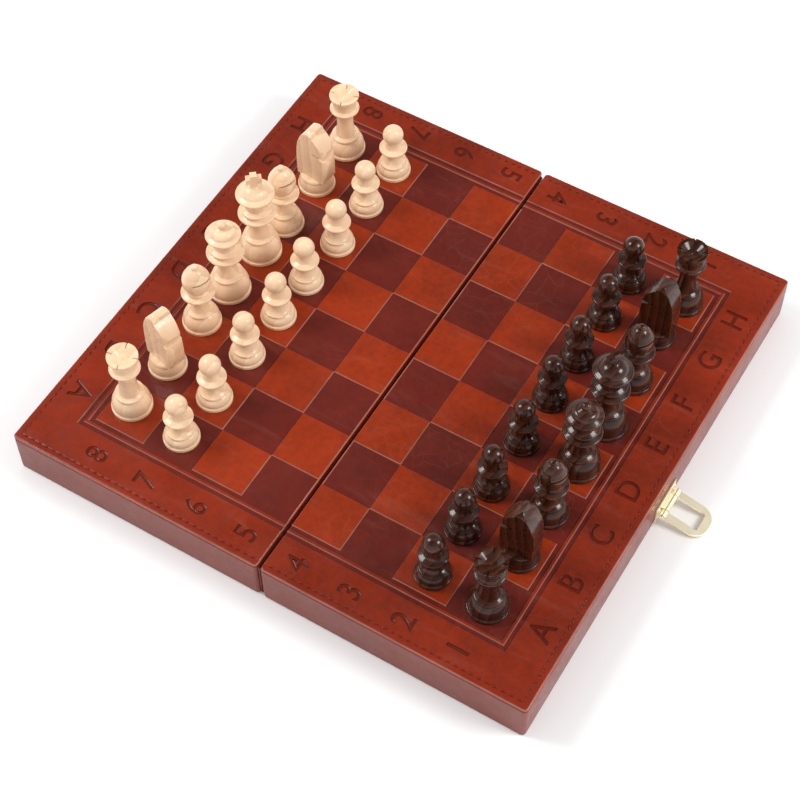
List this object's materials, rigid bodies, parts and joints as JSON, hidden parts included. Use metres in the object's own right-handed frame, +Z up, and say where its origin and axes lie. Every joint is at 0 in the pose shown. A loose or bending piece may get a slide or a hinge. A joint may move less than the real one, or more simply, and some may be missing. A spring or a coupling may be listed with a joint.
{
  "type": "folding chess set",
  "caption": "Leather-covered folding chess case that opens into an embossed board with light and dark turned wooden men and a brass loop latch.",
  "frame": {"origin": "middle of the open board on the table, on the hinge line", "axes": "+X from the hinge towards the rank 1 edge that has the latch, +Y along the hinge towards the h file, +Z up out of the playing surface"},
  "size_m": [0.3947, 0.35, 0.1085],
  "materials": {
    "board_leather": "satin",
    "case_wood": "matte",
    "lining_felt": "matte",
    "light_wood": "gloss",
    "dark_wood": "gloss",
    "brass": "gloss"
  },
  "bodies": {
    "left_case": {"left_side_leather": "board_leather", "left_hinge_wall": "case_wood", "left_end_wall": "case_wood", "left_front_wall": "case_wood", "left_back_wall": "case_wood", "left_panel": "case_wood", "left_top_leather": "board_leather", "left_lining": "lining_felt", "leather_spine": "board_leather", "catch_plate": "brass", "catch_nails": "brass"},
    "right_case": {"right_side_leather": "board_leather", "right_hinge_wall": "case_wood", "right_end_wall": "case_wood", "right_front_wall": "case_wood", "right_back_wall": "case_wood", "right_panel": "case_wood", "right_top_leather": "board_leather", "right_lining": "lining_felt", "latch_plate": "brass", "latch_pin": "brass", "latch_nails": "brass"},
    "latch_loop": {"latch_loop": "brass"},
    "light_rook_a8": {"light_rook_a8": "light_wood"},
    "light_knight_b8": {"light_knight_b8": "light_wood"},
    "light_bishop_c8": {"light_bishop_c8": "light_wood"},
    "light_queen_d8": {"light_queen_d8": "light_wood"},
    "light_king_e8": {"light_king_e8": "light_wood"},
    "light_bishop_f8": {"light_bishop_f8": "light_wood"},
    "light_knight_g8": {"light_knight_g8": "light_wood"},
    "light_rook_h8": {"light_rook_h8": "light_wood"},
    "light_pawn_a7": {"light_pawn_a7": "light_wood"},
    "light_pawn_b7": {"light_pawn_b7": "light_wood"},
    "light_pawn_c7": {"light_pawn_c7": "light_wood"},
    "light_pawn_d7": {"light_pawn_d7": "light_wood"},
    "light_pawn_e7": {"light_pawn_e7": "light_wood"},
    "light_pawn_f7": {"light_pawn_f7": "light_wood"},
    "light_pawn_g7": {"light_pawn_g7": "light_wood"},
    "light_pawn_h7": {"light_pawn_h7": "light_wood"},
    "dark_pawn_a2": {"dark_pawn_a2": "dark_wood"},
    "dark_pawn_b2": {"dark_pawn_b2": "dark_wood"},
    "dark_pawn_c2": {"dark_pawn_c2": "dark_wood"},
    "dark_pawn_d2": {"dark_pawn_d2": "dark_wood"},
    "dark_pawn_e2": {"dark_pawn_e2": "dark_wood"},
    "dark_pawn_f2": {"dark_pawn_f2": "dark_wood"},
    "dark_pawn_g2": {"dark_pawn_g2": "dark_wood"},
    "dark_pawn_h2": {"dark_pawn_h2": "dark_wood"},
    "dark_rook_a1": {"dark_rook_a1": "dark_wood"},
    "dark_knight_b1": {"dark_knight_b1": "dark_wood"},
    "dark_bishop_c1": {"dark_bishop_c1": "dark_wood"},
    "dark_queen_d1": {"dark_queen_d1": "dark_wood"},
    "dark_king_e1": {"dark_king_e1": "dark_wood"},
    "dark_bishop_f1": {"dark_bishop_f1": "dark_wood"},
    "dark_knight_g1": {"dark_knight_g1": "dark_wood"},
    "dark_rook_h1": {"dark_rook_h1": "dark_wood"}
  },
  "joints": [
    {"name": "board_fold", "type": "hinge", "parent": "left_case", "child": "right_case", "pos_m": [0, 0, 0], "axis": [0, 1, 0], "range_deg": [0, 180], "deforming": ["leather_spine"]},
    {"name": "latch_swing", "type": "hinge", "parent": "right_case", "child": "latch_loop", "pos_m": [0.1823, 0.0015, 0.0081], "axis": [0, 1, 0], "range_deg": [-104, 76]},
    {"name": "lift_light_rook_a8", "type": "slide", "parent": "left_case", "child": "light_rook_a8", "axis": [0, 0, 1], "range_m": [0, 0.1]},
    {"name": "lift_light_knight_b8", "type": "slide", "parent": "left_case", "child": "light_knight_b8", "axis": [0, 0, 1], "range_m": [0, 0.1]},
    {"name": "lift_light_bishop_c8", "type": "slide", "parent": "left_case", "child": "light_bishop_c8", "axis": [0, 0, 1], "range_m": [0, 0.1]},
    {"name": "lift_light_queen_d8", "type": "slide", "parent": "left_case", "child": "light_queen_d8", "axis": [0, 0, 1], "range_m": [0, 0.1]},
    {"name": "lift_light_king_e8", "type": "slide", "parent": "left_case", "child": "light_king_e8", "axis": [0, 0, 1], "range_m": [0, 0.1]},
    {"name": "lift_light_bishop_f8", "type": "slide", "parent": "left_case", "child": "light_bishop_f8", "axis": [0, 0, 1], "range_m": [0, 0.1]},
    {"name": "lift_light_knight_g8", "type": "slide", "parent": "left_case", "child": "light_knight_g8", "axis": [0, 0, 1], "range_m": [0, 0.1]},
    {"name": "lift_light_rook_h8", "type": "slide", "parent": "left_case", "child": "light_rook_h8", "axis": [0, 0, 1], "range_m": [0, 0.1]},
    {"name": "lift_light_pawn_a7", "type": "slide", "parent": "left_case", "child": "light_pawn_a7", "axis": [0, 0, 1], "range_m": [0, 0.1]},
    {"name": "lift_light_pawn_b7", "type": "slide", "parent": "left_case", "child": "light_pawn_b7", "axis": [0, 0, 1], "range_m": [0, 0.1]},
    {"name": "lift_light_pawn_c7", "type": "slide", "parent": "left_case", "child": "light_pawn_c7", "axis": [0, 0, 1], "range_m": [0, 0.1]},
    {"name": "lift_light_pawn_d7", "type": "slide", "parent": "left_case", "child": "light_pawn_d7", "axis": [0, 0, 1], "range_m": [0, 0.1]},
    {"name": "lift_light_pawn_e7", "type": "slide", "parent": "left_case", "child": "light_pawn_e7", "axis": [0, 0, 1], "range_m": [0, 0.1]},
    {"name": "lift_light_pawn_f7", "type": "slide", "parent": "left_case", "child": "light_pawn_f7", "axis": [0, 0, 1], "range_m": [0, 0.1]},
    {"name": "lift_light_pawn_g7", "type": "slide", "parent": "left_case", "child": "light_pawn_g7", "axis": [0, 0, 1], "range_m": [0, 0.1]},
    {"name": "lift_light_pawn_h7", "type": "slide", "parent": "left_case", "child": "light_pawn_h7", "axis": [0, 0, 1], "range_m": [0, 0.1]},
    {"name": "lift_dark_pawn_a2", "type": "slide", "parent": "right_case", "child": "dark_pawn_a2", "axis": [0, 0, 1], "range_m": [0, 0.1]},
    {"name": "lift_dark_pawn_b2", "type": "slide", "parent": "right_case", "child": "dark_pawn_b2", "axis": [0, 0, 1], "range_m": [0, 0.1]},
    {"name": "lift_dark_pawn_c2", "type": "slide", "parent": "right_case", "child": "dark_pawn_c2", "axis": [0, 0, 1], "range_m": [0, 0.1]},
    {"name": "lift_dark_pawn_d2", "type": "slide", "parent": "right_case", "child": "dark_pawn_d2", "axis": [0, 0, 1], "range_m": [0, 0.1]},
    {"name": "lift_dark_pawn_e2", "type": "slide", "parent": "right_case", "child": "dark_pawn_e2", "axis": [0, 0, 1], "range_m": [0, 0.1]},
    {"name": "lift_dark_pawn_f2", "type": "slide", "parent": "right_case", "child": "dark_pawn_f2", "axis": [0, 0, 1], "range_m": [0, 0.1]},
    {"name": "lift_dark_pawn_g2", "type": "slide", "parent": "right_case", "child": "dark_pawn_g2", "axis": [0, 0, 1], "range_m": [0, 0.1]},
    {"name": "lift_dark_pawn_h2", "type": "slide", "parent": "right_case", "child": "dark_pawn_h2", "axis": [0, 0, 1], "range_m": [0, 0.1]},
    {"name": "lift_dark_rook_a1", "type": "slide", "parent": "right_case", "child": "dark_rook_a1", "axis": [0, 0, 1], "range_m": [0, 0.1]},
    {"name": "lift_dark_knight_b1", "type": "slide", "parent": "right_case", "child": "dark_knight_b1", "axis": [0, 0, 1], "range_m": [0, 0.1]},
    {"name": "lift_dark_bishop_c1", "type": "slide", "parent": "right_case", "child": "dark_bishop_c1", "axis": [0, 0, 1], "range_m": [0, 0.1]},
    {"name": "lift_dark_queen_d1", "type": "slide", "parent": "right_case", "child": "dark_queen_d1", "axis": [0, 0, 1], "range_m": [0, 0.1]},
    {"name": "lift_dark_king_e1", "type": "slide", "parent": "right_case", "child": "dark_king_e1", "axis": [0, 0, 1], "range_m": [0, 0.1]},
    {"name": "lift_dark_bishop_f1", "type": "slide", "parent": "right_case", "child": "dark_bishop_f1", "axis": [0, 0, 1], "range_m": [0, 0.1]},
    {"name": "lift_dark_knight_g1", "type": "slide", "parent": "right_case", "child": "dark_knight_g1", "axis": [0, 0, 1], "range_m": [0, 0.1]},
    {"name": "lift_dark_rook_h1", "type": "slide", "parent": "right_case", "child": "dark_rook_h1", "axis": [0, 0, 1], "range_m": [0, 0.1]}
  ]
}
